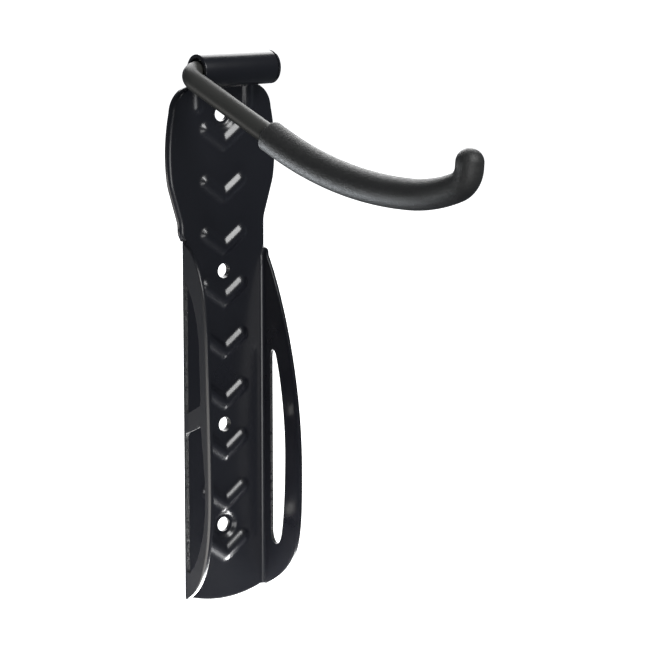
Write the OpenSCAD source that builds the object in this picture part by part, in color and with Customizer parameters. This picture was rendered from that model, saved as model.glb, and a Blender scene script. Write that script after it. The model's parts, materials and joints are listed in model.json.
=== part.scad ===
// Wall rack that hangs one bicycle by its front wheel: a pressed steel back
// plate with a tyre tray, and a padded hook that swings in a tube at the top.
// Origin: centre of the top screw hole on the wall plane. +X right, -Y out
// from the wall towards the user, +Z up. Millimetres.

/* [Back plate] */
// Thickness of the sheet steel
sheet = 2; // [1.5:0.1:3]
// Distance of the plate's front face from the wall
stand_off = 4; // [3:0.5:6]
// Half width of the head at its widest
head_half = 37.9; // [30:0.1:45]
// Height of the widest place of the head
head_wide_z = -22; // [-30:1:-15]
// Radius of the long side curves of the head
head_side_r = 110; // [80:5:140]
// Height of the shoulder line of the head
head_top_z = 17.5; // [12:0.5:22]
// Radius of the two upper corners of the head
head_corner_r = 16; // [8:0.5:18]
// Height where the head has narrowed to the neck
knee_z = -61; // [-70:1:-50]
// Half width of the neck and of the tyre tray
tray_half = 29.7; // [24:0.1:34]
// Height where the neck's turned rim ends
neck_end_z = -71; // [-80:1:-64]
// Height of the tray's lower corners
tray_low_z = -278.5; // [-300:0.5:-250]
// Drop of the rounded lower edge below its corners
bottom_drop = 5.3; // [0:0.1:12]
// Half width of the tab behind the tube
tab_half = 21; // [15:0.5:24]
// Top of the tab behind the tube
tab_top_z = 30; // [24:0.5:34]

/* [Screw holes] */
// Diameter of the four screw holes
hole_d = 8.5; // [6:0.1:10]
// Height of the second hole
hole_2_z = -90; // [-100:1:-80]
// Height of the third hole
hole_3_z = -180; // [-190:1:-170]
// Height of the lowest hole
hole_4_z = -240; // [-250:1:-230]
// Outer diameter of the collar that meets the wall
collar_d = 13; // [11:0.5:18]
// Diameter at the rim of the sunk screw seats
seat_wide_d = 17; // [14:0.5:20]
// Diameter at the bottom of the sunk screw seats
seat_low_d = 12.4; // [10:0.2:14]

/* [Pressed beads] */
// Number of V-shaped beads
v_count = 9; // [1:1:9]
// Distance from one V bead to the next
v_pitch = 30; // [20:1:40]
// Height of the point of the first V bead
v_first_z = -17; // [-20:0.5:-12]
// Reach of each arm to the side
v_reach = 13; // [8:0.5:20]
// Slope of each arm from the level
v_slope = 33; // [15:1:45]
// Width of a bead
bead_w = 8; // [4:0.5:10]
// Height of a bead
bead_h = 2; // [1:0.1:3]
// Distance of the two upright ribs from the middle
rib_x = 17.5; // [10:0.5:22]
// Width of the upright ribs
rib_w = 8; // [3:0.5:9]

/* [Tray wings] */
// Outward lean of each wing
splay = 6; // [0:1:15]
// Greatest depth of a wing in front of the fold
wing_depth = 29.3; // [20:1:45]
// Inside radius of the fold
fold_r = 2.5; // [0.5:0.5:4]

/* [Pivot tube] */
// Outer diameter of the tube
tube_d = 19; // [16:0.5:25]
// Inner diameter of the tube
tube_bore = 14.6; // [12:0.1:18]
// Left end of the tube
tube_left_x = -25.5; // [-30:0.1:-20]
// Right end of the tube
tube_right_x = 25.2; // [18:0.1:28]
// Distance of the tube's axis from the wall
axis_out = 14; // [12:0.5:18]
// Height of the tube's axis
axis_z = 26.3; // [20:0.1:34]
// Half length of the weld seams
weld_half = 17; // [10:0.5:20]
// Length of each bush
bush_len = 9; // [5:0.5:12]
// Running clearance round the rod
run_gap = 0.05; // [0.02:0.01:0.1]

/* [Swing stop] */
// Swing of the hook from rest to fully up
swing = 95; // [45:5:100]
// Diameter of the stop pin
pin_d = 4; // [3:0.5:5]
// Distance of the stop pin from the middle
pin_x = 22.2; // [20:0.1:23]
// Resting angle of the stop pin above the line to the wall
pin_rest = 45; // [30:5:60]

/* [Hook] */
// Diameter of the steel rod
rod_d = 11.5; // [10:0.5:14]
// Corner of the rod, where arm and axle lines meet
corner_x = -35; // [-38:0.1:-32]
// Turn of the hook's upright plane towards the right
toe_in = 13.5; // [0:0.5:20]
// Fall of the arm below the level
fall = 26.5; // [10:0.5:40]
// Centre line radius of the elbow
elbow_r = 10; // [9:0.5:14]
// Reach where the arm begins to curve
curve_from = 71; // [60:1:90]
// Radius of the long curve
curve_r = 195; // [120:1:220]
// Radius of the rising curve
rise_r = 82; // [60:1:100]
// Rise angle where the tip bend starts
rise_end = 22; // [10:1:30]
// Radius of the tip bend
tip_r = 12.5; // [12:0.5:20]
// Final angle of the tip
tip_angle = 86; // [50:1:88]
// Straight length of the tip
tip_len = 3; // [2.5:0.5:16]
// Outer diameter of the soft sleeve
sleeve_d = 17.6; // [15:0.5:20]
// Reach where the sleeve starts
sleeve_from = 62; // [45:1:68]
// Height of the sleeve's domed end
dome_h = 7.5; // [3:0.5:8]

/* [Hidden] */
$fn = 64;
e = 0.01;
axis_y = -axis_out;
front_y = -stand_off;
back_y = front_y + sheet;
// reach, height and turn of the hook's centre line, measured from the corner
a_z = axis_z - curve_from * tan(fall);
b_s = curve_from + curve_r * sin(fall);
b_z = a_z - curve_r * (1 - cos(fall));
c_s = b_s + rise_r * sin(rise_end);
c_z = b_z + rise_r * (1 - cos(rise_end));
d_s = c_s + tip_r * (sin(tip_angle) - sin(rise_end));
d_z = c_z + tip_r * (cos(rise_end) - cos(tip_angle));
turn = 90 + asin(sin(toe_in) * cos(fall));
lean = atan2(sin(fall), cos(toe_in) * cos(fall));
elbow_t = elbow_r * tan(turn / 2);
arm_len = curve_from / cos(fall);
fold_out = fold_r + sheet;
fold_low = tray_low_z - 1;

back_plate();
pivot_tube();
weld_lower();
weld_upper();
bush_left();
bush_right();
hook_rod();
grip_sleeve();
stop_pin();
end_cap();

// ---- helpers ----

// points of a cubic curve from a to d with handles b and c
function curve(a, b, c, d, n = 12) = [for (i = [0 : n - 1]) let (t = i / n, u = 1 - t)
    u * u * u * a + 3 * u * u * t * b + 3 * u * t * t * c + t * t * t * d];

// stands a drawing in x and z up at depth y and makes it h thick, backwards
module upright(y, h) {
    translate([0, y + h, 0])
    rotate([90, 0, 0])
    linear_extrude(height = h)
    children();
}

// a cylinder from front to back, its axis square to the wall
module post(x, z, y, h, d) {
    translate([x, y + h, z])
    rotate([90, 0, 0])
    cylinder(h = h, d = d);
}

// outline of the head, made smaller by i all round
module head_shape(i) {
    intersection() {
        translate([head_half - head_side_r, head_wide_z])
        circle(r = head_side_r - i, $fn = 180);
        translate([head_side_r - head_half, head_wide_z])
        circle(r = head_side_r - i, $fn = 180);
        union() {
            translate([-60, -39])
            square([120, 39 + head_top_z - head_corner_r]);
            for (s = [-1, 1])
                translate([s * 19.3, head_top_z - head_corner_r])
                circle(r = head_corner_r - i);
            translate([-20, 0])
            square([40, head_top_z - i]);
            polygon([[-36 + i, -39 + e], [36 - i, -39 + e],
                     [tray_half - i, knee_z], [-tray_half + i, knee_z]]);
        }
    }
}

// neck, tray floor and the tab behind the tube
module neck_shape(i, low) {
    translate([-tray_half + i, low])
    square([2 * (tray_half - i), knee_z - low + 1]);
}

// radius of a bead w wide and h high
function bead_r(w, h) = (w * w / 4 + h * h) / (2 * h);

// one arm of a V bead, from its point out to the side
module arm(side, z, w, h, y) {
    r = bead_r(w, h);
    intersection() {
        translate([0, y - h + r, z])
        mirror([side < 0 ? 1 : 0, 0, 0])
        rotate([0, -v_slope, 0])
        union() {
            translate([-r, 0, 0])
            rotate([0, 90, 0])
            cylinder(h = r + v_reach / cos(v_slope), r = r);
            translate([v_reach / cos(v_slope), 0, 0])
            sphere(r = r + e, $fn = 24);
        }
        translate([side < 0 ? -40 : 0, y - h - 1, z - 20])
        cube([40, h + 1 + e, 60]);
    }
}

// an upright rib below the tube
module rib(x, w, h, y) {
    r = bead_r(w, h);
    intersection() {
        translate([x, y - h + r, 5])
        union() {
            cylinder(h = 10, r = r);
            sphere(r = r + e, $fn = 24);
        }
        translate([x - 10, y - h - 1, -20])
        cube([20, h + 1 + e, 60]);
    }
}

// all pressed beads: grow is the change of width for the hollow behind
module beads(grow, y) {
    for (k = [0 : v_count - 1])
        for (s = [-1, 1])
            arm(s, v_first_z - k * v_pitch, bead_w + grow, bead_h, y);
    for (s = [-1, 1])
        rib(s * rib_x, rib_w + grow, bead_h, y);
}

// places a drawing of depth and height on the left or right wing
module wing(side) {
    translate([side * (tray_half - fold_out), front_y - fold_r, 0])
    mirror([side < 0 ? 1 : 0, 0, 0])
    rotate([0, 0, splay])
    translate([fold_out, 0, 0])
    rotate([90, 0, -90])
    linear_extrude(height = sheet)
    children();
}

// rounded fold between the tray floor and a wing
module fold(side, top) {
    translate([side * (tray_half - fold_out), front_y - fold_r, fold_low])
    mirror([side < 0 ? 1 : 0, 0, 0])
    rotate([0, 0, splay - 2.5])
    rotate_extrude(angle = 95 - splay)
    translate([fold_r + e, 0])
    square([sheet - 2 * e, top - fold_low]);
}

// outline of the left wing: depth in front of the fold, and height
module left_outline() {
    polygon(concat(
        [[0, fold_low], [0, -72]],
        curve([0, -72], [17, -76], [26, -98], [27, -125]),
        curve([27, -125], [28, -150], [wing_depth, -185], [wing_depth, -215]),
        curve([wing_depth, -215], [wing_depth, -248], [20, -270], [0, fold_low])));
}

// the two openings of the left wing
module left_windows() {
    polygon(concat([[0.6, -168.5], [0.6, -93]],
        curve([2.6, -92], [8, -98], [16, -112], [17, -130]),
        [[18.5, -160], [17.5, -162], [2.6, -169.5]]));
    polygon(concat([[0.6, -263], [0.6, -183], [1.6, -181], [17.5, -174]],
        curve([19, -175], [20.5, -190], [22.8, -202], [22.8, -216]),
        curve([22.8, -216], [22.8, -240], [12, -258], [2.6, -264.5])));
}

// outline of the right wing
module right_outline() {
    polygon(concat(
        [[0, fold_low], [0, -78]],
        curve([0, -78], [12, -100], [wing_depth, -152], [wing_depth, -205]),
        curve([wing_depth, -205], [wing_depth, -248], [29, -265], [0, fold_low])));
}

// the long slot of the right wing
module right_slot() {
    polygon(concat(
        curve([4.2, -143], [4.2, -138.5], [6, -136], [8.5, -140]),
        curve([8.5, -140], [12, -150], [16.6, -176], [16.6, -198]),
        curve([16.6, -198], [16.6, -220], [15.2, -238], [13.4, -247]),
        curve([13.4, -247], [12, -256], [5, -256.5], [4.2, -246]),
        [[4.2, -246]]));
}

// ---- fixed pieces ----

module back_plate() {
    color([0.12, 0.125, 0.15])
    difference() {
        union() {
            // head and neck: a shallow pan whose rim reaches the wall
            difference() {
                upright(front_y, stand_off) {
                    head_shape(0);
                    neck_shape(0, neck_end_z);
                }
                upright(back_y, stand_off) {
                    head_shape(sheet);
                    neck_shape(sheet, neck_end_z - 1);
                }
            }
            // tray floor between the two folds
            upright(front_y, sheet)
            intersection() {
                translate([-(tray_half - fold_out), -300])
                square([2 * (tray_half - fold_out), 300 + neck_end_z + 1]);
                union() {
                    translate([0, tray_low_z - bottom_drop + 77])
                    circle(r = 77, $fn = 180);
                    translate([-40, -250])
                    square([80, 250]);
                }
            }
            upright(front_y, sheet)
            translate([-tab_half, 0])
            square([2 * tab_half, tab_top_z]);
            fold(-1, neck_end_z + e);
            fold(1, neck_end_z + e);
            wing(-1) left_outline();
            wing(1) right_outline();
            beads(0, front_y);
            // collars and the backs of the sunk seats reach the wall
            for (z = [hole_2_z, hole_3_z])
                post(0, z, front_y, stand_off, collar_d);
            for (z = [0, hole_4_z])
                translate([0, front_y + 1, z])
                rotate([-90, 0, 0])
                cylinder(h = stand_off - 1, d1 = seat_wide_d + 3, d2 = seat_low_d + 2.4);
        }
        beads(-1.5, back_y);
        for (z = [0, hole_2_z, hole_3_z, hole_4_z])
            post(0, z, front_y - 4, stand_off + 6, hole_d);
        for (z = [0, hole_4_z])
            translate([0, front_y - 1, z])
            rotate([-90, 0, 0])
            cylinder(h = stand_off - sheet + 1, d2 = seat_low_d,
                     d1 = seat_wide_d + (seat_wide_d - seat_low_d) / (stand_off - sheet));
        wing_cut(-1) left_windows();
        wing_cut(1) right_slot();
    }
}

// same place as wing(), but thicker, for cutting
module wing_cut(side) {
    translate([side * (tray_half - fold_out), front_y - fold_r, 0])
    mirror([side < 0 ? 1 : 0, 0, 0])
    rotate([0, 0, splay])
    translate([fold_out + 1, 0, 0])
    rotate([90, 0, -90])
    linear_extrude(height = sheet + 2)
    children();
}

// turns a piece drawn along z so that it lies on the tube's axis
module on_axis(x) {
    translate([x, axis_y, axis_z])
    rotate([0, 90, 0])
    children();
}

module pivot_tube() {
    len = tube_right_x - tube_left_x;
    color([0.08, 0.08, 0.09])
    difference() {
        on_axis(tube_left_x)
        cylinder(h = len, d = tube_d);
        on_axis(tube_left_x - 1)
        cylinder(h = len + 2, d = tube_bore);
        // notch at the back in which the stop pin swings
        on_axis(pin_x - pin_d / 2 - 0.2)
        rotate([0, 0, 90 + pin_rest - swing])
        rotate_extrude(angle = swing)
        translate([tube_bore / 2 - 1, 0])
        square([5, 20]);
        for (a = [pin_rest, pin_rest - swing])
            on_axis(pin_x)
            rotate([0, 0, 90 + a])
            union() {
                rotate([0, 90, 0])
                cylinder(h = 12, d = pin_d + 0.4);
                translate([0, -pin_d / 2 - 0.2, 0])
                cube([12, pin_d + 0.4, 12]);
            }
    }
}

// a seam along x, drawn as distance out from the wall and height
module seam() {
    translate([-weld_half, 0, 0])
    rotate([90, 0, 90])
    linear_extrude(height = 2 * weld_half)
    difference() {
        children();
        translate([axis_y, axis_z])
        circle(d = tube_d);
    }
}

module weld_lower() {
    color([0.1, 0.1, 0.11])
    seam()
    intersection() {
        polygon([[front_y, 15.5], [front_y, 24], [front_y - 6, 18.5]]);
        translate([front_y - 1, 21])
        circle(d = 11);
    }
}

module weld_upper() {
    color([0.1, 0.1, 0.11])
    seam()
    intersection() {
        polygon([[front_y + 1.5, tab_top_z], [front_y - 5, tab_top_z], [front_y - 5, 36]]);
        translate([front_y - 2, tab_top_z])
        circle(d = 7);
    }
}

module bush(x) {
    color([0.85, 0.84, 0.8])
    difference() {
        on_axis(x)
        cylinder(h = bush_len, d = tube_bore - 0.04);
        on_axis(x - 1)
        cylinder(h = bush_len + 2, d = rod_d + 2 * run_gap);
    }
}

module bush_left() {
    bush(-20.5);
}

module bush_right() {
    bush(7.5);
}

// ---- moving pieces ----

// moves a drawing into the hook's upright plane, forwards being -Y
module hook_plane() {
    translate([corner_x, axis_y, 0])
    rotate([0, 0, toe_in])
    children();
}

// straight length from reach s and height z, rising at angle a
module run(s, z, a, len, d) {
    translate([0, -s, z])
    rotate([90 - a, 0, 0])
    cylinder(h = len, d = d);
}

// curved length about a centre, between two angles; grow makes it reach
// into its neighbours at both ends
module bow(s, z, r, a0, a1, d, grow = 0) {
    more = grow / r * 180 / PI;
    translate([0, -s, z])
    rotate([90, 0, -90])
    rotate([0, 0, a0 - more])
    rotate_extrude(angle = a1 - a0 + 2 * more, $fn = 180)
    translate([r, 0])
    circle(d = d, $fn = 48);
}

// the curved end of the hook, shared by the rod and the sleeve
module hook_end(d, extra) {
    bow(b_s, b_z + curve_r, curve_r, -90 - fall, -90, d - 2 * e, 0.2);
    bow(b_s, b_z + rise_r, rise_r, -90, -90 + rise_end, d);
    bow(c_s - tip_r * sin(rise_end), c_z + tip_r * cos(rise_end), tip_r,
        -90 + rise_end, -90 + tip_angle, d - 2 * e, 0.2);
    run(d_s, d_z, tip_angle, extra, d);
}

module hook_rod() {
    color([0.27, 0.27, 0.25])
    difference() {
        union() {
            on_axis(corner_x + elbow_t)
            cylinder(h = tube_right_x - 0.2 - corner_x - elbow_t, d = rod_d);
            on_axis(tube_right_x - 1)
            cylinder(h = 2.6, d = 8);
            translate([corner_x, axis_y, axis_z])
            rotate([lean, 0, 0])
            translate([elbow_t, -elbow_r, 0])
            rotate([0, 0, 89])
            rotate_extrude(angle = turn + 2, $fn = 120)
            translate([elbow_r, 0])
            circle(d = rod_d - 2 * e, $fn = 48);
            hook_plane() {
                run(elbow_t * cos(fall), axis_z - elbow_t * sin(fall), -fall,
                    arm_len - elbow_t, rod_d);
                hook_end(rod_d, tip_len - 2);
            }
        }
        // cross hole for the stop pin
        on_axis(pin_x)
        rotate([0, 0, 90 + pin_rest])
        rotate([0, 90, 0])
        translate([0, 0, -3])
        cylinder(h = 14, d = pin_d + 0.02);
    }
}

module grip_sleeve() {
    color([0.2, 0.2, 0.2])
    hook_plane()
    difference() {
        union() {
            run(sleeve_from, axis_z - sleeve_from * tan(fall), -fall,
                (curve_from - sleeve_from) / cos(fall), sleeve_d);
            hook_end(sleeve_d, tip_len);
            // domed end
            intersection() {
                translate([0, -(d_s + tip_len * cos(tip_angle)),
                           d_z + tip_len * sin(tip_angle)])
                rotate([90 - tip_angle, 0, 0])
                translate([0, 0, dome_h - (sleeve_d * sleeve_d / 4 + dome_h * dome_h) / (2 * dome_h)])
                sphere(r = (sleeve_d * sleeve_d / 4 + dome_h * dome_h) / (2 * dome_h));
                run(d_s, d_z, tip_angle, 40, sleeve_d);
            }
        }
        run(sleeve_from - 2, axis_z - (sleeve_from - 2) * tan(fall), -fall,
            (curve_from - sleeve_from + 2) / cos(fall), rod_d + 2 * run_gap);
        hook_end(rod_d + 2 * run_gap, tip_len - 1.7);
    }
}

module stop_pin() {
    color([0.6, 0.6, 0.6])
    on_axis(pin_x)
    rotate([0, 0, 90 + pin_rest])
    rotate([0, 90, 0])
    translate([0, 0, -2.8])
    cylinder(h = 2.8 + 9.2, d = pin_d);
}

module end_cap() {
    color([0.05, 0.05, 0.05])
    difference() {
        on_axis(tube_right_x + 0.3)
        union() {
            cylinder(h = 1.2, d = tube_d);
            translate([0, 0, 1.2])
            cylinder(h = 1, r1 = tube_d / 2, r2 = tube_d / 2 - 1);
        }
        on_axis(tube_right_x - 1)
        cylinder(h = 2.8, d = 8.02);
    }
}
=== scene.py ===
# %% [markdown]
# # A wall rack for one bicycle
# The rack is a long pressed-steel plate that is screwed to the wall. A short tube is welded across
# its top, and a padded steel hook turns in that tube. The wheel hangs from the hook by its rim, and
# the tyre rests in the tray between the two wings. This script loads the measured frame of the
# rack and then makes its visible pieces around it, in metres and in the same places.

# %% Load the frame
import bpy
import bmesh
import json
import math
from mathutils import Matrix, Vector

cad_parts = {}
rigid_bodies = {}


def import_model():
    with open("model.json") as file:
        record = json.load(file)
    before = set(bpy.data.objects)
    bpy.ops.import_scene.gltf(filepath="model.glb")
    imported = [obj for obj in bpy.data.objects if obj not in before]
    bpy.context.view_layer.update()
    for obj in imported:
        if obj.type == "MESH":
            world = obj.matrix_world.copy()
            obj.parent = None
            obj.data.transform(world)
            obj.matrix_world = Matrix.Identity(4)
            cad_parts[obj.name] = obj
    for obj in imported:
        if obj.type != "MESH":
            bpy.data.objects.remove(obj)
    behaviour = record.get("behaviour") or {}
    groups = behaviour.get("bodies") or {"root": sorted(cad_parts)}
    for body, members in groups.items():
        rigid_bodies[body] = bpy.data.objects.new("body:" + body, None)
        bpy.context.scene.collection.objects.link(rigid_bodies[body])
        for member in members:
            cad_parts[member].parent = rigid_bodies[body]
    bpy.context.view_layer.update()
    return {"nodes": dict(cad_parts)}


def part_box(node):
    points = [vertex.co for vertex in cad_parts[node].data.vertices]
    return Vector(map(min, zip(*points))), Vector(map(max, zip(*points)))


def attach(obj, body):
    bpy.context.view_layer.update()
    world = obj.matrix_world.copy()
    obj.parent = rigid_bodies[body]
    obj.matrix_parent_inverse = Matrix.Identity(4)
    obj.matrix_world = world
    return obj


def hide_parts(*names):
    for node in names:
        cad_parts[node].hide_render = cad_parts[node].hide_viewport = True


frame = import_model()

MM = 0.001
print("nodes:", sorted(frame["nodes"]))

# %% [markdown]
# ## Small tools
# Blender's operators act on everything that is selected, so each tool first clears the selection.
# Most pieces here start as a grid or a ring whose points are then carried to their true place, the
# way a press or a bender moves the metal of the real piece.


# %% Tools for selecting and applying
def only(*objects):
    """Selects these objects and nothing else."""
    for other in bpy.context.view_layer.objects:
        other.select_set(False)
    for item in objects:
        item.select_set(True)
    bpy.context.view_layer.objects.active = objects[0]


def edit(item, *steps):
    """Runs operators in edit mode with the whole mesh selected."""
    only(item)
    bpy.ops.object.mode_set(mode="EDIT")
    bpy.ops.mesh.select_all(action="SELECT")
    for step in steps:
        step()
    bpy.ops.object.mode_set(mode="OBJECT")


def merge():
    bpy.ops.mesh.remove_doubles(threshold=2e-6)


def outwards():
    bpy.ops.mesh.normals_make_consistent(inside=False)


def modify(item, kind, **settings):
    """Adds a modifier with these settings and applies it at once."""
    only(item)
    extra = item.modifiers.new(kind.lower(), kind)
    for key, value in settings.items():
        setattr(extra, key, value)
    bpy.ops.object.modifier_apply(modifier=extra.name)


def join(name, first, *others):
    only(first, *others)
    if others:
        bpy.ops.object.join()
    first.name = first.data.name = name
    return first


def report(item):
    print(f"{item.name}: {len(item.data.vertices)} points, {len(item.data.polygons)} faces")


# %% Tool: a grid whose points are carried to a formed shape
def formed_grid(name, columns, rows, place):
    """A grid of columns x rows points; place(column, row) gives each point its spot, in mm."""
    for other in bpy.context.view_layer.objects:
        other.select_set(False)
    bpy.ops.mesh.primitive_grid_add(x_subdivisions=columns - 1, y_subdivisions=rows - 1, size=1)
    item = bpy.context.object
    item.name = name
    item.data.name = name
    for point in item.data.vertices:
        column = round((point.co.x + 0.5) * (columns - 1))
        row = round((0.5 - point.co.y) * (rows - 1))
        point.co = Vector(place(column, row)) * MM
    return item


# %% Tool: a ring that is extruded from station to station
def swept(name, stations, sides=48, closed=False):
    """Stations are (centre, direction, radius) in mm. The ring is extruded from each to the next."""
    centre, way, radius = stations[0]
    turn = Vector((0, 0, 1)).rotation_difference(Vector(way)).to_euler()
    bpy.ops.object.select_all(action="DESELECT")
    bpy.ops.mesh.primitive_circle_add(
        vertices=sides, radius=radius * MM, location=Vector(centre) * MM, rotation=turn,
        fill_type="NOTHING" if closed else "NGON")
    item = bpy.context.object
    item.name = name
    bpy.ops.object.transform_apply(location=True, rotation=True, scale=True)
    bpy.ops.object.mode_set(mode="EDIT")
    bpy.ops.mesh.select_all(action="SELECT")
    for here, there in zip(stations, stations[1:]):
        bpy.ops.mesh.extrude_region_move()
        bend = Vector(here[1]).rotation_difference(Vector(there[1]))
        mesh = bmesh.from_edit_mesh(item.data)
        for point in (p for p in mesh.verts if p.select):
            arm = (point.co - Vector(here[0]) * MM) * (there[2] / here[2])
            point.co = Vector(there[0]) * MM + bend @ arm
        bmesh.update_edit_mesh(item.data)
    bpy.ops.mesh.select_all(action="SELECT")
    merge()
    outwards()
    bpy.ops.object.mode_set(mode="OBJECT")
    return item


# %% [markdown]
# ## Finishes
# The plate and the tube are gloss navy-black enamel, the rod is satin grey, and the sleeve is matt
# with a fine moulded grain. Two effects are shared by several of these finishes, so each is built
# once as a node group: a fine relief for bump, and a slow drift of tone that keeps a large painted
# face from looking flat.

# %% Node helpers
def node(tree, kind, inputs=None, **settings):
    """Adds a node, sets its properties and its input values or links."""
    new = tree.nodes.new(kind)
    for key, value in settings.items():
        setattr(new, key, value)
    for key, value in (inputs or {}).items():
        if isinstance(value, bpy.types.NodeSocket):
            tree.links.new(value, new.inputs[key])
        else:
            new.inputs[key].default_value = value
    return new


def group(name, inputs, outputs):
    """An empty node group with named float or colour sockets."""
    tree = bpy.data.node_groups.new(name, "ShaderNodeTree")
    for title, kind, value in inputs:
        socket = tree.interface.new_socket(title, in_out="INPUT", socket_type=kind)
        socket.default_value = value
    for title, kind in outputs:
        tree.interface.new_socket(title, in_out="OUTPUT", socket_type=kind)
    return tree, node(tree, "NodeGroupInput"), node(tree, "NodeGroupOutput")


# %% Shared effect: fine relief
FLOAT, COLOUR = "NodeSocketFloat", "NodeSocketColor"
relief, given, result = group(
    "fine relief", [("Scale", FLOAT, 500.0), ("Roughen", FLOAT, 0.5)], [("Height", FLOAT)])
where = node(relief, "ShaderNodeTexCoord")
coarse = node(relief, "ShaderNodeTexNoise", {
    "Vector": where.outputs["Object"], "Scale": given.outputs["Scale"],
    "Detail": 3.0, "Roughness": given.outputs["Roughen"]})
relief.links.new(coarse.outputs[0], result.inputs["Height"])

# %% Shared effect: slow drift of tone
drift, given, result = group(
    "tone drift", [("Dark", COLOUR, (0, 0, 0, 1)), ("Light", COLOUR, (1, 1, 1, 1)),
                   ("Scale", FLOAT, 20.0)], [("Colour", COLOUR), ("Mask", FLOAT)])
where = node(drift, "ShaderNodeTexCoord")
cloud = node(drift, "ShaderNodeTexNoise", {
    "Vector": where.outputs["Object"], "Scale": given.outputs["Scale"], "Detail": 4.0})
blend = node(drift, "ShaderNodeMix", {
    0: cloud.outputs[0], 6: given.outputs["Dark"], 7: given.outputs["Light"]}, data_type="RGBA")
drift.links.new(blend.outputs[2], result.inputs["Colour"])
drift.links.new(cloud.outputs[0], result.inputs["Mask"])
print("groups:", [g.name for g in bpy.data.node_groups])


# %% A finish from its numbers
def finish_of(name, dark, light, drift_scale, rough, bump, shader):
    """rough is (low, high); bump is (scale, roughen, strength, distance in mm)."""
    made = bpy.data.materials.new(name)
    made.use_nodes = True
    tree = made.node_tree
    tree.nodes.clear()
    tone = node(tree, "ShaderNodeGroup", node_tree=drift)
    tone.inputs["Dark"].default_value = (*dark, 1)
    tone.inputs["Light"].default_value = (*light, 1)
    tone.inputs["Scale"].default_value = drift_scale
    sheen = node(tree, "ShaderNodeMapRange", {
        "Value": tone.outputs["Mask"], "From Min": 0.3, "From Max": 0.7,
        "To Min": rough[0], "To Max": rough[1]})
    fine = node(tree, "ShaderNodeGroup", node_tree=relief)
    fine.inputs["Scale"].default_value = bump[0]
    fine.inputs["Roughen"].default_value = bump[1]
    bumped = node(tree, "ShaderNodeBump", {
        "Height": fine.outputs["Height"], "Strength": bump[2], "Distance": bump[3] * MM})
    body = node(tree, "ShaderNodeBsdfPrincipled", {
        "Base Color": tone.outputs["Colour"], "Roughness": sheen.outputs["Result"],
        "Normal": bumped.outputs["Normal"]})
    for key, value in shader.items():
        body.inputs[key].default_value = value
    node(tree, "ShaderNodeOutputMaterial", {"Surface": body.outputs[0]})
    return made


# %% The finishes
enamel = finish_of(
    "navy enamel", (0.0055, 0.0058, 0.0085), (0.0085, 0.009, 0.0125), 16, (0.26, 0.36),
    (420, 0.4, 0.12, 0.05), {"IOR": 1.5, "Coat Weight": 0.35, "Coat Roughness": 0.12})
sheared = finish_of(
    "enamel over sheared edge", (0.02, 0.02, 0.022), (0.09, 0.09, 0.088), 380, (0.22, 0.4),
    (700, 0.75, 1.0, 0.6), {"IOR": 1.6, "Metallic": 0.35, "Coat Weight": 0.3})
satin = finish_of(
    "satin grey", (0.036, 0.036, 0.033), (0.046, 0.046, 0.042), 40, (0.42, 0.5),
    (1100, 0.6, 0.3, 0.06), {"IOR": 1.5})
grain = finish_of(
    "grained sleeve", (0.02, 0.02, 0.0195), (0.03, 0.03, 0.029), 500, (0.4, 0.55),
    (950, 0.7, 0.8, 0.3), {"IOR": 1.5})
nylon = finish_of(
    "natural nylon", (0.68, 0.66, 0.6), (0.76, 0.75, 0.7), 50, (0.4, 0.5),
    (700, 0.5, 0.2, 0.05), {"IOR": 1.53, "Subsurface Weight": 0.1})
steel = finish_of(
    "plain steel", (0.45, 0.45, 0.45), (0.6, 0.6, 0.6), 200, (0.28, 0.4),
    (2000, 0.6, 0.2, 0.03), {"Metallic": 1.0})
print("finishes:", [m.name for m in bpy.data.materials])


def wear(item, *finishes):
    """Gives a piece its finishes, in the order of its slots."""
    item.data.materials.clear()
    for each in finishes:
        item.data.materials.append(each)
    return item


# %% [markdown]
# ## The back plate
# The real plate is a flat blank that a press embosses with nine V beads, two upright ribs and two
# sunk screw seats; then its head gets a rim turned back to the wall and its tray gets two wings
# turned forwards. It could be cut out of blocks, but then the folds and beads would have no
# soft edges. So it is formed here as sheet: a fine grid is laid on the middle of the sheet and
# each point moves out of the plane by the height of the press tool at that spot.

# %% Where the plate is
plate_low, plate_high = (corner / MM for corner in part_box("back_plate"))
SHEET = 2.0
MIDDLE = -3.0                 # depth of the middle of the sheet
SEAT_Z = (0.0, -90.0, -180.0, -240.0)
SUNK = (0.0, -240.0)
HEAD_TOP = 17.4
CORNER_X, CORNER_Z, CORNER_R = 19.3, 1.5, 15.9
RIM_R = 1.5                   # bend of the rim, at the middle of the sheet
RIM_REACH = RIM_R + SHEET / 2  # from the flat part to the outermost line of the rim
FOLD_R = 3.5                  # bend of the wings, at the middle of the sheet
FOLD_X = 25.2                 # where the tray floor ends and its folds start
TRAY_HALF = 29.7
LOW_Z = -279.5                # where the folds end at the foot
SPLAY = math.radians(6)
print("plate box, mm:", [round(v, 1) for v in (*plate_low, *plate_high)])


# %% Outline of the head and the neck
SIDE_R, SIDE_X, SIDE_Z = 110, -72.15, -22   # the head's side is an arc about this spot
SHOULDER_Z, SHOULDER_HALF = -39, 36.5       # where the arc ends and the neck starts to narrow
KNEE_Z, NARROWED = -61, 6.8                 # where the neck turns upright, and by how much less
ARC_TOP = 10                                # the arc isn't followed higher than this


def straight_half(z):
    """Half of the width between sharp corners."""
    if z > SHOULDER_Z:
        return SIDE_X + math.sqrt(SIDE_R ** 2 - (z - SIDE_Z) ** 2)
    if z > KNEE_Z:
        return SHOULDER_HALF - NARROWED * (SHOULDER_Z - z) / (SHOULDER_Z - KNEE_Z)
    return TRAY_HALF


def half_width(z):
    """The same with its corners eased, as a press tool leaves them."""
    steps = [z + 0.5 * k for k in range(-5, 6)]
    return sum(straight_half(min(k, ARC_TOP)) for k in steps) / len(steps)


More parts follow.
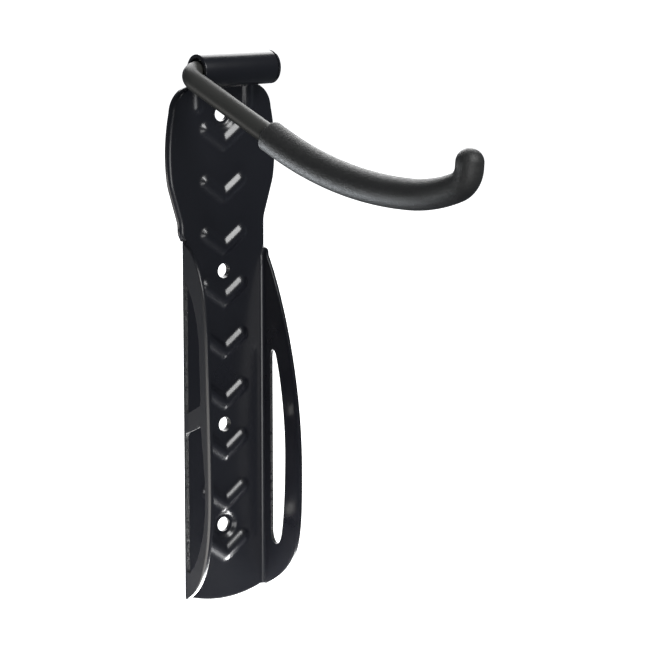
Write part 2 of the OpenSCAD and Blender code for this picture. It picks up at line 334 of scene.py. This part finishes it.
def step(a, b, t):
    """0 before a, 1 after b, and a smooth rise between; a may be the higher."""
    t = min(max((t - a) / (b - a), 0), 1)
    return t * t * (3 - 2 * t)


NECK_END = {-1: -70.5, 1: -78.5}          # where the rim stops, left and right
NARROWS = {-1: (-65.5, -71.0), 1: (-78.0, -84.0)}   # where the flat part narrows to the tray


def floor_half(z, side):
    """Half of the flat part: the bends start where it ends."""
    tray = step(*NARROWS[side], z)
    return half_width(z) - RIM_REACH - tray * (TRAY_HALF - RIM_REACH - FOLD_X)


# %% The press tool: how far each spot stands out
def to_segment(x, z, ax, az, bx, bz):
    """Distance from a spot to a straight line between two ends."""
    dx, dz = bx - ax, bz - az
    t = ((x - ax) * dx + (z - az) * dz) / (dx * dx + dz * dz)
    t = min(max(t, 0), 1)
    return math.hypot(x - ax - t * dx, z - az - t * dz)


def flank(distance, flat, foot, height):
    """Height of a bead: flat ridge, straight flank, both ends of the flank rounded."""
    t = (foot - distance) / (foot - flat)
    soft = 0.34                            # share of the flank that is rounded at each end
    rise = lambda v: 0 if v < -soft else v if v > soft else (v + soft) ** 2 / (4 * soft)
    return height * (rise(t) - rise(t - 1))


V_COUNT, V_STEP, V_FIRST = 9, 30, -17.2     # V beads: how many, how far apart, first apex
V_REACH, V_CLIMB = 12.2, 8.9                # end of an arm: out from its apex, and up
V_TOP, V_FOOT, V_HEIGHT = 0.7, 4.3, 2.1     # half widths of ridge and foot, and height
RIB_X, RIB_LOW, RIB_HIGH = 17.2, 4.8, 40    # upright ribs
RIB_TOP, RIB_FOOT, RIB_HEIGHT = 0.6, 4.2, 2.0
SEAT_FLAT, SEAT_RIM, SEAT_DEPTH = 6.4, 8.6, 2.0


def press_height(x, z):
    """How far the sheet stands out at a spot; sunk seats count as less than nothing."""
    soft_x = math.sqrt(x * x + 0.6)
    best = 0.0
    k = round((-11 - z) / V_STEP)
    for near in (k - 1, k, k + 1):
        if 0 <= near < V_COUNT:
            apex = V_FIRST - V_STEP * near
            d = to_segment(soft_x, z, 0, apex, V_REACH, apex + V_CLIMB)
            best = max(best, flank(d, V_TOP, V_FOOT, V_HEIGHT))
    if z > -6:
        d = to_segment(abs(x), z, RIB_X, RIB_LOW, RIB_X, RIB_HIGH)
        rib = flank(d, RIB_TOP, RIB_FOOT, RIB_HEIGHT)
        best = max(best, rib * step(30, 20, z) if z > 20 else rib)
    for seat in SUNK:
        dish = flank(math.hypot(x, z - seat), SEAT_FLAT, SEAT_RIM, SEAT_DEPTH)
        best -= dish * (1 - best / V_HEIGHT)
    return best


print("bead height at a V arm:", round(press_height(6, -12.8), 2), "mm")

# %% Rows and columns of the floor grid
INNER_HALF, LAST_COLUMN = 20, 50           # evenly spaced columns run between -20 and 20
COLUMNS = [-INNER_HALF + 0.8 * k for k in range(LAST_COLUMN + 1)]
EDGE_STEPS = 5                             # further columns on each side, out to the edge
side_points = []              # half widths left and right, and height
INNER_R = CORNER_R - RIM_REACH
for k in range(10):
    a = math.radians(45 - 4.5 * k)
    half = CORNER_X + INNER_R * math.cos(a)
    side_points.append((half, half, CORNER_Z + INNER_R * math.sin(a)))
z = CORNER_Z
while z > LOW_Z + 0.4:
    side_points.append((floor_half(z, -1), floor_half(z, 1), z))
    z -= 0.9
side_points.append((FOLD_X, FOLD_X, LOW_Z))
ROWS = len(side_points)
RISE = HEAD_TOP - RIM_REACH - side_points[0][2]
print("rows:", ROWS, "columns:", len(COLUMNS) + 2 * EDGE_STEPS)


BOTTOM_R, BOTTOM_CENTRE = 77, -206.8       # the foot's lower edge is an arc
BEND_FROM, FOOT_FROM = -8, -262            # rows above and below these follow the outline


def bottom_arc(x):
    return BOTTOM_CENTRE - math.sqrt(BOTTOM_R ** 2 - x * x)


def floor_spot(column, row):
    """A point of the tray floor or head, before the press touches it: x and z."""
    left_half, right_half, height = side_points[row]
    index = column - EDGE_STEPS
    half = left_half if index < LAST_COLUMN / 2 else right_half
    if index < 0:
        x = -INNER_HALF - (half - INNER_HALF) * (-index) / EDGE_STEPS
    elif index > LAST_COLUMN:
        x = INNER_HALF + (half - INNER_HALF) * (index - LAST_COLUMN) / EDGE_STEPS
    else:
        x = COLUMNS[index]
    top = min(max((height - BEND_FROM) / (side_points[0][2] - BEND_FROM), 0), 1)
    across = abs(x) * side_points[0][0] / half
    lift = RISE if across < CORNER_X else (
        CORNER_Z + math.sqrt(max(INNER_R ** 2 - (across - CORNER_X) ** 2, 0)) - side_points[0][2])
    low = min(max((FOOT_FROM - height) / (FOOT_FROM - LOW_Z), 0), 1)
    return x, height + top * lift + low * (bottom_arc(x) - bottom_arc(FOLD_X))


def floor_place(column, row):
    x, z = floor_spot(column, row)
    return x, MIDDLE - press_height(x, z), z


floor = formed_grid("floor", len(COLUMNS) + 2 * EDGE_STEPS, ROWS, floor_place)
report(floor)


# %% [markdown]
# The rim and the wings continue the sheet past the edge of that grid. Each is a strip that
# follows the edge: the rim bends back by a quarter turn along the head and the neck, and where it
# stops a wing starts and bends forwards along the tray. The wings' free edges are drawn as curves
# of depth.

# %% Free edges of the wings
def curve(a, b, c, d, n=24):
    """Points of a cubic curve between a and d."""
    out = []
    for k in range(n):
        t = k / n
        u = 1 - t
        out.append(tuple(u ** 3 * a[i] + 3 * u * u * t * b[i] + 3 * u * t * t * c[i] + t ** 3 * d[i]
                         for i in (0, 1)))
    return out


DEEP = 29.2
LEFT_EDGE = (curve((0, -72), (17, -76), (25, -98), (26.2, -125))
             + curve((26.2, -125), (27.4, -150), (DEEP, -185), (DEEP, -215))
             + curve((DEEP, -215), (DEEP, -248), (20, -270), (0, LOW_Z)) + [(0, LOW_Z)])
RIGHT_EDGE = (curve((0, -81), (12, -101), (DEEP, -152), (DEEP, -205))
              + curve((DEEP, -205), (DEEP, -248), (29, -265), (0, LOW_Z)) + [(0, LOW_Z)])


def depth_at(edge, z):
    """Depth of a wing at a height, read off its edge."""
    if z >= edge[0][1] or z <= edge[-1][1]:
        return 0
    for (d0, z0), (d1, z1) in zip(edge, edge[1:]):
        if z1 <= z <= z0:
            return d0 + (d1 - d0) * (z0 - z) / (z0 - z1)
    return 0


print("left wing depth at -215:", round(depth_at(LEFT_EDGE, -215), 1), "mm")

# %% The strip along one side
ARC_STEPS, FLAT_STEPS = 6, 8


def chain_of(side, first_row, last_row, with_top):
    """Spots along one side of the floor, from top to bottom, as if it were the right side."""
    last = len(COLUMNS) + 2 * EDGE_STEPS - 1
    columns = list(range(last - EDGE_STEPS, last)) if with_top else []
    spots = [(k, 0) for k in columns] + [(last, row) for row in range(first_row, last_row + 1)]
    chain = []
    for column, row in spots:
        x, z = floor_spot(column if side > 0 else last - column, row)
        chain.append((abs(x), z))
    return chain


def bent_strip(side, chain, radius, angle, length_at, towards):
    """Sheet that leaves the floor along a chain of spots and bends by an angle."""
    bend = radius * angle

    def place(row, stage):
        x, z = chain[row]
        before, after = chain[max(row - 1, 0)], chain[min(row + 1, len(chain) - 1)]
        along = Vector((after[0] - before[0], after[1] - before[1])).normalized()
        normal = Vector((-along.y, along.x)) if towards > 0 else Vector((1, 0))
        if towards > 0 and row == 0:
            normal = Vector((0, 1))        # meets the tab's edge exactly
        length = length_at(z)
        turn_end = min(bend, length)
        if stage <= ARC_STEPS:
            s = turn_end * stage / ARC_STEPS
        else:
            s = turn_end + (length - turn_end) * (stage - ARC_STEPS) / FLAT_STEPS
        out, deep = radius * math.sin(min(s, bend) / radius), radius * (
            1 - math.cos(min(s, bend) / radius))
        if s > bend:
            out += (s - bend) * math.cos(angle)
            deep += (s - bend) * math.sin(angle)
        y = MIDDLE - press_height(x, z) + towards * deep
        return side * (x + normal.x * out), y, z + normal.y * out

    return formed_grid("strip", len(chain), ARC_STEPS + FLAT_STEPS + 1, place)


RIM_LENGTH = RIM_R * math.pi / 2 + 1.45
LEAST_WING = 1.6              # a wing's strip never gets narrower than this
WING_BEND = FOLD_R * (math.pi / 2 - SPLAY)


def neck_row(side):
    return min(range(ROWS), key=lambda row: abs(side_points[row][2] - NECK_END[side]))


def rim(side):
    chain = chain_of(side, 0, neck_row(side), True)
    return bent_strip(side, chain, RIM_R, math.pi / 2, lambda z: RIM_LENGTH, 1)


def wing(side, edge):
    """The free edge leaves the neck, climbs round the fold and goes on along the wing."""
    start, neck = edge[0][1], side_points[neck_row(side)][2]

    def length_at(z):
        climb = min(max((neck - z) / (neck - start), 0), 1)
        whole = WING_BEND * math.sqrt(climb * (2 - climb)) + depth_at(edge, z)
        return max(whole, LEAST_WING)

    return bent_strip(side, chain_of(side, neck_row(side), ROWS - 1, False), FOLD_R,
                      math.pi / 2 - SPLAY, length_at, -1)


sides = [rim(-1), rim(1), wing(-1, LEFT_EDGE), wing(1, RIGHT_EDGE)]
report(sides[3])

# %% The tab behind the tube
TAB_TOP, TAB_STEPS = 29.5, 14


def tab_place(column, row):
    x, low = floor_spot(column + EDGE_STEPS, 0)
    z = low + (TAB_TOP - low) * row / TAB_STEPS
    return x, MIDDLE - press_height(x, z), z


tab = formed_grid("tab", len(COLUMNS), TAB_STEPS + 1, tab_place)

# %% One sheet, 2 mm thick, with its cut edges eased
EDGE_EASE = 0.3
plate = join("back_plate_sheet", floor, tab, *sides)
edit(plate, merge, outwards)
middle_face = max(plate.data.polygons, key=lambda f: abs(f.normal.y) - abs(f.center.z + 0.06) * 9)
if middle_face.normal.y > 0:
    edit(plate, lambda: bpy.ops.mesh.flip_normals())
modify(plate, "SOLIDIFY", thickness=SHEET * MM, offset=0, use_even_offset=False)
modify(plate, "BEVEL", width=EDGE_EASE * MM, segments=2, limit_method="ANGLE",
       angle_limit=math.radians(55), use_clamp_overlap=False)
report(plate)


# %% [markdown]
# ## Openings
# Two windows are sheared out of the left wing, a long slot out of the right one, and four screw
# holes out of the floor. The two middle holes have a collar behind that stands on the wall, and
# the outer two lie in sunk seats whose backs reach the wall themselves. Cutting the finished
# sheet keeps the edges of the openings square, as a shear leaves them, and the cutter's own finish
# stays on the cut faces, where enamel lies thinner and rougher.

# %% Cutters for the wings
def wing_spot(side, depth, z, off=0.0):
    """A spot on the middle of a wing, or off it towards the outside, in mm."""
    out, back = math.cos(SPLAY), math.sin(SPLAY)
    return (side * (FOLD_X + (FOLD_R + off) * out + depth * back),
            MIDDLE - FOLD_R + (FOLD_R + off) * back - depth * out, z)


def wing_cutter(side, outline):
    """A closed prism that stands through a wing; outline holds depths and heights."""
    bpy.ops.object.select_all(action="DESELECT")
    bpy.ops.mesh.primitive_circle_add(vertices=len(outline), radius=1, fill_type="NGON")
    item = bpy.context.object
    for point, (depth, z) in zip(item.data.vertices, outline):
        point.co = Vector(wing_spot(side, depth, z, -2.5)) * MM
    through = (Vector(wing_spot(side, 0, 0, 2.5)) - Vector(wing_spot(side, 0, 0, -2.5))) * MM
    edit(item, lambda: bpy.ops.mesh.extrude_region_move(
        TRANSFORM_OT_translate={"value": through}))
    edit(item, outwards)
    return wear(item, sheared)


upper_window = wing_cutter(-1, [(0.6, -168.5), (0.6, -95)]
                           + curve((0.8, -93), (8, -98), (16, -112), (17, -130))
                           + curve((17, -130), (17.2, -140), (18, -152), (18.4, -160))
                           + [(17.6, -162.2), (2.6, -169.5)])
lower_window = wing_cutter(-1, [(0.6, -262.5), (0.6, -183), (1.6, -181), (17.2, -174.2)]
                           + curve((18.4, -175), (20.5, -190), (22.8, -202), (22.8, -216))
                           + curve((22.8, -216), (22.8, -240), (12, -258), (2.6, -264)))
right_slot = wing_cutter(1, curve((4.2, -143), (4.2, -138.5), (6, -136), (8.5, -140))
                         + curve((8.5, -140), (12, -150), (16.6, -176), (16.6, -198))
                         + curve((16.6, -198), (16.6, -220), (15.2, -238), (13.4, -247))
                         + curve((13.4, -247), (12, -256), (5, -256.5), (4.2, -246)))
report(right_slot)

# %% Collars and cutters for the screw holes
HOLE_R, COLLAR_R = 4.25, 6.5
FORWARD = (0, 1, 0)


def hole_cutter(z):
    return swept("hole", [((0, -9, z), FORWARD, HOLE_R), ((0, 2, z), FORWARD, HOLE_R)], 64)


def collar(z):
    return swept("collar", [((0, -3.0, z), FORWARD, COLLAR_R), ((0, -0.4, z), FORWARD, COLLAR_R),
                            ((0, 0, z), FORWARD, COLLAR_R - 0.4)], 64)


collars = join("collars", *[collar(z) for z in SEAT_Z if z not in SUNK])
cutters = join("cutters", *[wear(hole_cutter(z), sheared) for z in SEAT_Z],
               upper_window, lower_window, right_slot)
report(cutters)

# %% Join the collars, then cut
wear(plate, enamel)
wear(collars, enamel)
modify(plate, "BOOLEAN", operation="UNION", object=collars, solver="MANIFOLD",
       material_mode="TRANSFER")
modify(plate, "BOOLEAN", operation="DIFFERENCE", object=cutters, solver="MANIFOLD",
       material_mode="TRANSFER")
for spent in (collars, cutters):
    bpy.data.objects.remove(spent)
only(plate)
bpy.ops.object.shade_smooth_by_angle(angle=math.radians(32))
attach(plate, "bracket")
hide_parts("back_plate")
report(plate)
print("finishes on the plate:", [m.name for m in plate.data.materials])

# %% [markdown]
# ## The pivot tube
# A piece of plain tube, welded across the top of the plate. Its mouths are eased by a light turning
# cut. The outline of its wall is swept round as rings from mouth to mouth and back through the
# bore, which gives real thickness and a real bore. A notch at its right end lets the stop pin swing.

# %% Tube wall
tube_low, tube_high = (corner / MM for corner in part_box("pivot_tube"))
AXIS_Y = (tube_low.y + tube_high.y) / 2
AXIS_Z = (tube_low.z + tube_high.z) / 2
TUBE_R = (tube_high.z - tube_low.z) / 2
BORE_R, MOUTH_EASE = 7.3, 0.4
LEFT, RIGHT = tube_low.x, tube_high.x
EASE = 0.7


def on_axis(x, radius):
    return (x, AXIS_Y, AXIS_Z), (1, 0, 0), radius


wall = []
for k in range(6):
    a = math.radians(90 * k / 5)
    wall.append(on_axis(LEFT + EASE * (1 - math.sin(a)), TUBE_R - EASE * (1 - math.cos(a))))
wall.reverse()
for k in range(6):
    a = math.radians(90 * k / 5)
    wall.append(on_axis(RIGHT - EASE * (1 - math.sin(a)), TUBE_R - EASE * (1 - math.cos(a))))
wall += [on_axis(RIGHT, BORE_R + MOUTH_EASE), on_axis(RIGHT - MOUTH_EASE, BORE_R),
         on_axis(LEFT + MOUTH_EASE, BORE_R), on_axis(LEFT, BORE_R + MOUTH_EASE), wall[0]]
tube = swept("pivot_tube_wall", wall, 96, closed=True)
report(tube)

# %% Notch for the stop pin
PIN_X, PIN_HALF = 22.2, 2.2
NOTCH_FROM, NOTCH_TO = 40, 135             # degrees, from straight down towards the wall
NOTCH_INNER_R, NOTCH_OUTER_R = 6.3, 11.5
NOTCH_LENGTH = 12


def notch_outline():
    """Corners of the notch seen along the axis: out from the wall, and up."""
    spots = []
    for radius, order in ((NOTCH_INNER_R, 1), (NOTCH_OUTER_R, -1)):
        spare = math.degrees(math.asin(PIN_HALF / radius))
        low, high = NOTCH_FROM - spare, NOTCH_TO + spare
        ring = [low + (high - low) * k / 12 for k in range(13)][::order]
        spots += [(AXIS_Y + radius * math.sin(math.radians(a)),
                   AXIS_Z - radius * math.cos(math.radians(a))) for a in ring]
    return spots


outline = notch_outline()
bpy.ops.object.select_all(action="DESELECT")
bpy.ops.mesh.primitive_circle_add(vertices=len(outline), radius=1, fill_type="NGON")
notch = bpy.context.object
for point, (y, z) in zip(notch.data.vertices, outline):
    point.co = Vector((PIN_X - PIN_HALF, y, z)) * MM
edit(notch, lambda: bpy.ops.mesh.extrude_region_move(
    TRANSFORM_OT_translate={"value": (NOTCH_LENGTH * MM, 0, 0)}))
edit(notch, outwards)
modify(tube, "BOOLEAN", operation="DIFFERENCE", object=notch, solver="EXACT")
bpy.data.objects.remove(notch)
wear(tube, enamel)
only(tube)
bpy.ops.object.shade_smooth_by_angle(angle=math.radians(32))
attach(tube, "bracket")
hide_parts("pivot_tube")
report(tube)

# %% [markdown]
# ## The welds
# Two seams hold the tube: one in the corner below it and one along the top of the tab. A hand-laid
# seam is a row of small overlapping pools, so each is a round bead that is swept along the corner
# while its radius swells and shrinks a little, with rounded ends.


# %% Rippled seams
POOL = 2.3                                 # length of one pool


def seam(name, y, z, radius, half):
    """A bead along X with its middle line at y and z."""
    stations = []
    count = 150
    for k in range(count + 1):
        x = -half + 2 * half * k / count
        end = min(1.0, (half - abs(x)) / radius + 0.08)
        pool = 1 + 0.09 * abs(math.sin(x * math.pi / POOL + 0.6 * math.sin(x * 0.7)))
        stations.append(((x, y, z), (1, 0, 0), radius * pool * math.sqrt(end * (2 - end))))
    made = swept(name, stations, 28)
    wear(made, enamel)
    only(made)
    bpy.ops.object.shade_smooth()
    return made


lower_seam = seam("seam_below", -5.8, 17.9, 2.5, 17)
upper_seam = seam("seam_above", -4.4, 30.4, 1.5, 17)
for made, cad in ((lower_seam, "weld_lower"), (upper_seam, "weld_upper")):
    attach(made, "bracket")
    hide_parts(cad)
    report(made)

# %% [markdown]
# ## The end cap
# A small pressed disc on the end of the spindle that keeps the hook from sliding out. It is turned
# in the same way as the tube, with a soft edge and a shallow crown.

# %% Crowned disc
EDGE_R = 1.3                               # rounding of the disc's outer edge
cap_low, cap_high = (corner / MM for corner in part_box("end_cap"))
CAP_R = (cap_high.z - cap_low.z) / 2
turned = [on_axis(cap_low.x, 4.1), on_axis(cap_low.x, CAP_R - 0.4),
          on_axis(cap_low.x + 0.4, CAP_R)]
for k in range(7):
    a = math.radians(90 * k / 6)
    turned.append(on_axis(cap_high.x - 0.35 - EDGE_R * (1 - math.sin(a)),
                          CAP_R - EDGE_R * (1 - math.cos(a))))
turned += [on_axis(cap_high.x - 0.1, CAP_R - 3.5), on_axis(cap_high.x, 2.5),
           on_axis(cap_high.x, 0.4)]
cap = wear(swept("end_cap_disc", turned, 96), enamel)
only(cap)
bpy.ops.object.shade_smooth_by_angle(angle=math.radians(40))
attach(cap, "hook")
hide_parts("end_cap")
report(cap)

# %% [markdown]
# ## The hook rod
# One round bar: a spindle inside the tube, a tight elbow at the tube's left mouth, a straight arm
# that falls at about 27 degrees, and a long bend that rises at the front. A bender pushes the bar round
# formers of fixed radius, so the path is made of straight runs and arcs, and the ring is extruded
# along it.

# %% The path of the bar
ROD_R = 5.75
CORNER = Vector((-35.0, AXIS_Y, AXIS_Z))
TOE, FALL, ELBOW_R = math.radians(13.5), math.radians(26.5), 10.0
CURVE_FROM, CURVE_R, RISE_R, TIP_R = 71.0, 195.0, 82.0, 12.5
RISE_END, TIP_ANGLE, TIP_LEN = math.radians(22), math.radians(86), 3.0


def heading(slope):
    """Direction of travel in the hook's upright plane, at a slope from level."""
    level = math.cos(slope)
    return Vector((math.sin(TOE) * level, -math.cos(TOE) * level, math.sin(slope)))


def arc(spot, slope_from, slope_to, radius, steps):
    """Stations round a bend whose slope grows; returns them with the end spot."""
    out = []
    centre = spot + heading(slope_from + math.pi / 2) * radius
    for k in range(1, steps + 1):
        slope = slope_from + (slope_to - slope_from) * k / steps
        out.append((centre - heading(slope + math.pi / 2) * radius, heading(slope)))
    return out


arm_way = heading(-FALL)
turn = math.pi / 2 + math.asin(math.sin(TOE) * math.cos(FALL))
reach_in = ELBOW_R * math.tan(turn / 2)
elbow = []
start = CORNER + Vector((1, 0, 0)) * reach_in
inward = (arm_way + Vector((1, 0, 0)) * arm_way.dot(Vector((-1, 0, 0)))).normalized()
for k in range(25):
    a = turn * k / 24
    way = Vector((-1, 0, 0)) * math.cos(a) + inward * math.sin(a)
    side = inward * math.cos(a) + Vector((1, 0, 0)) * math.sin(a)
    elbow.append((start + inward * ELBOW_R - side * ELBOW_R, way))
arm_end = CORNER + arm_way * CURVE_FROM / math.cos(FALL)
arm = [(CORNER + arm_way * (reach_in + (CURVE_FROM / math.cos(FALL) - reach_in) * k / 12), arm_way)
       for k in range(1, 13)]
bends = arc(arm_end, -FALL, 0, CURVE_R, 24)
bends += arc(bends[-1][0], 0, RISE_END, RISE_R, 14)
bends += arc(bends[-1][0], RISE_END, TIP_ANGLE, TIP_R, 14)
tip_spot, tip_way = bends[-1]
path = elbow + arm + bends
print("elbow turns by", round(math.degrees(turn), 1), "degrees; path has", len(path), "stations")

# %% Sweep the bar
ROD_SHORT, BORE_SHORT = 2.0, 1.7           # the bar and the sleeve's bore stop short of the dome
right_end = cap_low.x - 0.4
stations = [((right_end, AXIS_Y, AXIS_Z), (-1, 0, 0), 5.0),
            ((right_end - 0.6, AXIS_Y, AXIS_Z), (-1, 0, 0), ROD_R)]
stations += [(spot, way, ROD_R) for spot, way in path]
stations.append((tip_spot + tip_way * (TIP_LEN - ROD_SHORT), tip_way, ROD_R))
rod = wear(swept("hook_bar", stations, 56), satin)
only(rod)
bpy.ops.object.shade_smooth_by_angle(angle=math.radians(35))
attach(rod, "hook")
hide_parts("hook_rod")
report(rod)

# %% [markdown]
# ## The grip sleeve
# A moulded sleeve with a fine grain that keeps the rim from being scratched. It has a soft rounded
# lip at its start, thins a little towards the tip as it is stretched round the bend, and ends in a
# closed dome. It is one sweep: in through the bore, over the lip and out to the dome.

# %% Sleeve
SLEEVE_FROM = 62.0
sleeve_start = CORNER + arm_way * SLEEVE_FROM / math.cos(FALL)
run_to = CURVE_FROM / math.cos(FALL) - SLEEVE_FROM / math.cos(FALL)
skin = [(sleeve_start + arm_way * run_to * k / 5, arm_way) for k in range(1, 6)] + bends
skin.append((tip_spot + tip_way * (TIP_LEN - BORE_SHORT), tip_way))
SLEEVE_R, LIP_R = 8.75, 1.8
THINS_BY, SLACK = 1.15, 0.05               # loss of radius up to the tip; gap round the bar
bore = [(spot, way, ROD_R + SLACK) for spot, way in reversed(skin)]
lip = [(sleeve_start, arm_way, ROD_R + SLACK)]
for k in range(8):
    a = math.radians(90 * k / 7)
    lip.append((sleeve_start + arm_way * LIP_R * (1 - math.cos(a)), arm_way,
                SLEEVE_R - LIP_R * (1 - math.sin(a))))
outer = []
for k, (spot, way) in enumerate(skin[:-1]):
    share = k / (len(skin) - 2)
    outer.append((spot, way, SLEEVE_R - THINS_BY * step(0.25, 1.05, share)))
tip_r = outer[-1][2]
dome = [(tip_spot + tip_way * TIP_LEN * k / 4, tip_way, tip_r) for k in range(1, 5)]
DOME_H = 7.4
for k in range(1, 12):
    a = math.radians(90 * k / 12)
    dome.append((tip_spot + tip_way * (TIP_LEN + DOME_H * math.sin(a)), tip_way,
                 tip_r * math.cos(a)))
sleeve = wear(swept("grip_skin", bore + lip + outer + dome, 64), grain)
only(sleeve)
bpy.ops.object.shade_smooth_by_angle(angle=math.radians(40))
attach(sleeve, "hook")
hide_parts("grip_sleeve")
report(sleeve)

# %% [markdown]
# ## Pieces kept from the frame
# The two bearing bushes sit inside the tube and the stop pin crosses the spindle. Their turned
# shapes are already right, so they only get their finishes.

# %% Finishes of the kept pieces
for name, finish in (("bush_left", nylon), ("bush_right", nylon), ("stop_pin", steel)):
    kept = frame["nodes"][name]
    for slot in range(len(kept.material_slots)):
        kept.material_slots[slot].material = finish
    print(name, "is", finish.name)

# %% [markdown]
# ## Stage, light and camera
# The rack hangs in front of a plain white paper sweep. Gloss enamel shows what stands around it, so
# the room in front is dim and a few soft panels are placed where they draw the shapes: one high
# in front for the flanks of the beads, one low at the left for ribs and rims, one behind at the
# right for the upper faces of the tube and the hook, and one behind at the left for the left
# wing. Two more light one piece each: a low one under the foot lights the plate's lower beads,
# and one low behind at the left gives the sleeve its soft sheen.

# %% Paper sweep
PAPER_HALF, PAPER_FRONT, PAPER_RISE = 9000, -2600, 4500
PAPER_FLOOR, PAPER_BACK, PAPER_BEND = -520, 3600, 1200


def sweep_spot(column, row):
    """Floor at the front, a large bend, then the upright part behind."""
    x = -PAPER_HALF + 2 * PAPER_HALF * column / 24
    bend_y = PAPER_BACK - PAPER_BEND
    if row <= 8:
        return x, PAPER_FRONT + (bend_y - PAPER_FRONT) * row / 8, PAPER_FLOOR
    if row <= 24:
        a = math.radians(90 * (row - 8) / 16)
        return (x, bend_y + PAPER_BEND * math.sin(a),
                PAPER_FLOOR + PAPER_BEND * (1 - math.cos(a)))
    return x, PAPER_BACK, PAPER_FLOOR + PAPER_BEND + PAPER_RISE * (row - 24) / 6


paper = formed_grid("paper_sweep", 25, 31, sweep_spot)
only(paper)
bpy.ops.object.shade_smooth()
white = bpy.data.materials.new("white paper")
white.use_nodes = True
tree = white.node_tree
tree.nodes.clear()
speck = node(tree, "ShaderNodeTexNoise", {
    "Vector": node(tree, "ShaderNodeTexCoord").outputs["Object"], "Scale": 3.0})
tint = node(tree, "ShaderNodeMapRange", {"Value": speck.outputs[0], "To Min": 0.8, "To Max": 0.82})
matt = node(tree, "ShaderNodeBsdfDiffuse", {"Color": tint.outputs["Result"]})
glow = node(tree, "ShaderNodeEmission", {"Color": (1, 1, 1, 1), "Strength": 1.0})
both = node(tree, "ShaderNodeAddShader", {0: matt.outputs[0], 1: glow.outputs[0]})
node(tree, "ShaderNodeOutputMaterial", {"Surface": both.outputs[0]})
wear(paper, white)
paper.visible_glossy = False
paper.visible_diffuse = False
paper.visible_shadow = False

# %% Soft panels
def panel(name, spot, aim, size, brightness, colour=(1, 1, 1), spread=180):
    """A soft light whose face has this brightness; paper white is 1."""
    lamp = bpy.data.lights.new(name, "AREA")
    lamp.shape = "RECTANGLE"
    lamp.size, lamp.size_y = size
    lamp.energy = brightness * math.pi * size[0] * size[1]
    lamp.color = colour
    lamp.spread = math.radians(spread)
    holder = bpy.data.objects.new(name, lamp)
    bpy.context.scene.collection.objects.link(holder)
    holder.location = spot
    holder.rotation_euler = (Vector(aim) - Vector(spot)).to_track_quat("-Z", "Y").to_euler()
    holder.visible_camera = False
    return holder


HEART = (0, 0, -0.12)                      # the panels face this spot; all in metres
panel("high front", (0.05, -1.5, 1.08), HEART, (0.75, 0.85), 12)
panel("low left front", (-0.68, -1.3, -0.35), HEART, (0.8, 0.55), 4)
panel("behind right", (1.5, 1.9, 1.6), HEART, (2.4, 2.6), 4.5)
panel("behind left", (-1.55, 1.45, -0.95), HEART, (1.2, 0.8), 2.6, (1.0, 0.97, 0.92))
sheen = panel("sheen", (-0.75, 1.4, -1.15), HEART, (0.8, 0.7), 16, (0.9, 0.95, 1.0))
foot = panel("foot", (0.03, 0.02, -0.47), (0.03, 0.02, 0), (0.5, 0.26), 20)
foot.rotation_euler = (math.pi, 0, 0)
plate_only = bpy.data.collections.new("plate only")
plate_only.objects.link(plate)
foot.light_linking.receiver_collection = plate_only
sleeve_only = bpy.data.collections.new("sleeve only")
sleeve_only.objects.link(sleeve)
sheen.light_linking.receiver_collection = sleeve_only

# %% Dim room, white to the eye
room = bpy.data.worlds.new("room")
bpy.context.scene.world = room
room.use_nodes = True
tree = room.node_tree
tree.nodes.clear()
path_kind = node(tree, "ShaderNodeLightPath")
dim = node(tree, "ShaderNodeBackground", {"Color": (0.8, 0.88, 1.0, 1), "Strength": 0.12})
seen = node(tree, "ShaderNodeBackground", {"Color": (1, 1, 1, 1), "Strength": 1.0})
pick = node(tree, "ShaderNodeMixShader", {
    0: path_kind.outputs["Is Camera Ray"], 1: dim.outputs[0], 2: seen.outputs[0]})
node(tree, "ShaderNodeOutputWorld", {"Surface": pick.outputs[0]})

# %% Camera
TARGET = Vector((0.0767, 0.0, -0.1306))
AZIMUTH, ELEVATION, DISTANCE = math.radians(-38), math.radians(10), 1.640
eye = bpy.data.cameras.new("camera")
eye.lens, eye.sensor_width = 152.8, 36
camera = bpy.data.objects.new("camera", eye)
bpy.context.scene.collection.objects.link(camera)
camera.location = TARGET + DISTANCE * Vector((
    math.sin(AZIMUTH) * math.cos(ELEVATION), -math.cos(AZIMUTH) * math.cos(ELEVATION),
    math.sin(ELEVATION)))
camera.rotation_euler = (TARGET - camera.location).to_track_quat("-Z", "Y").to_euler()
bpy.context.scene.camera = camera
bpy.context.scene.view_settings.view_transform = "Standard"
print("camera at", [round(v, 3) for v in camera.location])
